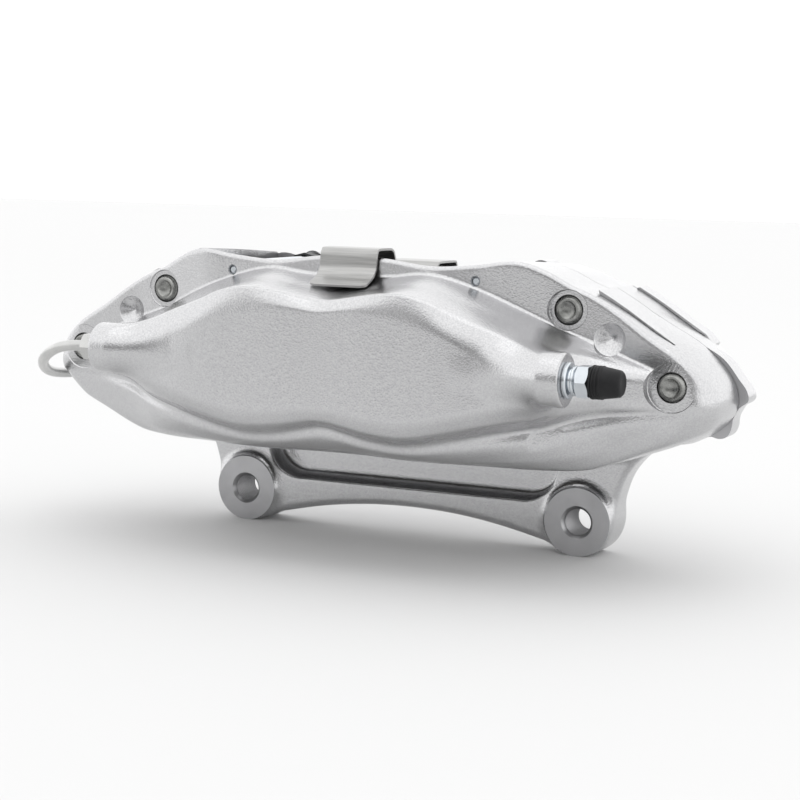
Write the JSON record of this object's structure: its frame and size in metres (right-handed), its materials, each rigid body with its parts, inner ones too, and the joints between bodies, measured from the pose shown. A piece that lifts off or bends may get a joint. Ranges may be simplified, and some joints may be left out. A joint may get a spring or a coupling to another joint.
{
  "type": "fixed brake caliper",
  "caption": "Fixed opposed-piston disc brake caliper in two bolted aluminium halves, with pads, pins, clip, crossover tube and bleeders, on an axial lug bracket.",
  "frame": {"origin": "midway between the two mounting bolt axes, on the plane of the lugs' inboard mating faces", "axes": "+X along the line of the two mounting bolts, +Y inboard along the disc's axis, +Z radially away from the wheel centre"},
  "size_m": [0.2999, 0.135, 0.122],
  "materials": {
    "cast_aluminium": "blasted and clear coated casting, fine grain, bright satin",
    "bolt_steel": "dark zinc plated steel, olive tint",
    "zinc_steel": "bright zinc plate, faint blue tint",
    "stainless_sheet": "brushed stainless sheet",
    "black_rubber": "matte moulded rubber",
    "friction_lining": "pressed friction compound with fine metal flecks, matte",
    "backing_steel": "black powder coated pressed steel",
    "piston_alloy": "hard anodised, turned"
  },
  "bodies": {
    "caliper": {"outboard_body": "cast_aluminium", "pressure_seal_outboard_left": "black_rubber", "dust_seal_outboard_left": "black_rubber", "pressure_seal_outboard_right": "black_rubber", "dust_seal_outboard_right": "black_rubber", "tube_nut_outboard": "zinc_steel", "inboard_body": "cast_aluminium", "pressure_seal_inboard_left": "black_rubber", "dust_seal_inboard_left": "black_rubber", "pressure_seal_inboard_right": "black_rubber", "dust_seal_inboard_right": "black_rubber", "tube_nut_inboard": "zinc_steel", "bridge_bolt_upper_left": "bolt_steel", "bridge_bolt_lower_left": "bolt_steel", "bridge_bolt_upper_right": "bolt_steel", "bridge_bolt_lower_right": "bolt_steel", "crossover_tube": "zinc_steel", "anti_rattle_clip": "stainless_sheet"},
    "outboard_left_piston": {"piston_outboard_left": "piston_alloy"},
    "outboard_right_piston": {"piston_outboard_right": "piston_alloy"},
    "inboard_left_piston": {"piston_inboard_left": "piston_alloy"},
    "inboard_right_piston": {"piston_inboard_right": "piston_alloy"},
    "outboard_pad": {"pad_backing_plate_outboard": "backing_steel", "pad_lining_outboard": "friction_lining", "pad_shim_outboard": "stainless_sheet"},
    "inboard_pad": {"pad_backing_plate_inboard": "backing_steel", "pad_lining_inboard": "friction_lining", "pad_shim_inboard": "stainless_sheet"},
    "left_pin": {"pad_pin_left": "zinc_steel", "pin_collar_left": "stainless_sheet"},
    "right_pin": {"pad_pin_right": "zinc_steel", "pin_collar_right": "stainless_sheet"},
    "outboard_bleeder": {"bleeder_screw_outboard": "zinc_steel"},
    "outboard_bleeder_cap": {"bleeder_cap_outboard": "black_rubber"},
    "inboard_bleeder": {"bleeder_screw_inboard": "zinc_steel"},
    "inboard_bleeder_cap": {"bleeder_cap_inboard": "black_rubber"}
  },
  "joints": [
    {"name": "outboard_left_piston_slide", "type": "slide", "parent": "caliper", "child": "outboard_left_piston", "axis": [0, 1, 0], "range_m": [0, 0.0085]},
    {"name": "outboard_right_piston_slide", "type": "slide", "parent": "caliper", "child": "outboard_right_piston", "axis": [0, 1, 0], "range_m": [-0.0001, 0.0086]},
    {"name": "inboard_left_piston_slide", "type": "slide", "parent": "caliper", "child": "inboard_left_piston", "axis": [0, -1, 0], "range_m": [-0.0001, 0.0086]},
    {"name": "inboard_right_piston_slide", "type": "slide", "parent": "caliper", "child": "inboard_right_piston", "axis": [0, -1, 0], "range_m": [-0.0001, 0.0086]},
    {"name": "outboard_pad_slide", "type": "slide", "parent": "caliper", "child": "outboard_pad", "axis": [0, 1, 0], "range_m": [-0.0001, 0.0086]},
    {"name": "inboard_pad_slide", "type": "slide", "parent": "caliper", "child": "inboard_pad", "axis": [0, -1, 0], "range_m": [-0.0001, 0.0086]},
    {"name": "left_pin_slide", "type": "slide", "parent": "caliper", "child": "left_pin", "axis": [0, 1, 0], "range_m": [0, 0.086]},
    {"name": "right_pin_slide", "type": "slide", "parent": "caliper", "child": "right_pin", "axis": [0, 1, 0], "range_m": [0, 0.086]},
    {"name": "outboard_bleeder_turn", "type": "hinge", "parent": "caliper", "child": "outboard_bleeder", "pos_m": [0.0984, -0.095, 0.0655], "axis": [1, 0, 0], "range_deg": [0, 180]},
    {"name": "outboard_bleeder_cap_pull", "type": "slide", "parent": "outboard_bleeder", "child": "outboard_bleeder_cap", "axis": [1, 0, 0], "range_m": [0, 0.016]},
    {"name": "inboard_bleeder_turn", "type": "hinge", "parent": "caliper", "child": "inboard_bleeder", "pos_m": [0.0984, 0.02, 0.0655], "axis": [1, 0, 0], "range_deg": [0, 180]},
    {"name": "inboard_bleeder_cap_pull", "type": "slide", "parent": "inboard_bleeder", "child": "inboard_bleeder_cap", "axis": [1, 0, 0], "range_m": [0, 0.016]}
  ],
  "couplings": [
    {"joint": "outboard_right_piston_slide", "follows": "outboard_left_piston_slide", "ratio": 1},
    {"joint": "inboard_left_piston_slide", "follows": "outboard_left_piston_slide", "ratio": 1},
    {"joint": "inboard_right_piston_slide", "follows": "outboard_left_piston_slide", "ratio": 1},
    {"joint": "outboard_pad_slide", "follows": "outboard_left_piston_slide", "ratio": 1},
    {"joint": "inboard_pad_slide", "follows": "outboard_left_piston_slide", "ratio": 1}
  ]
}
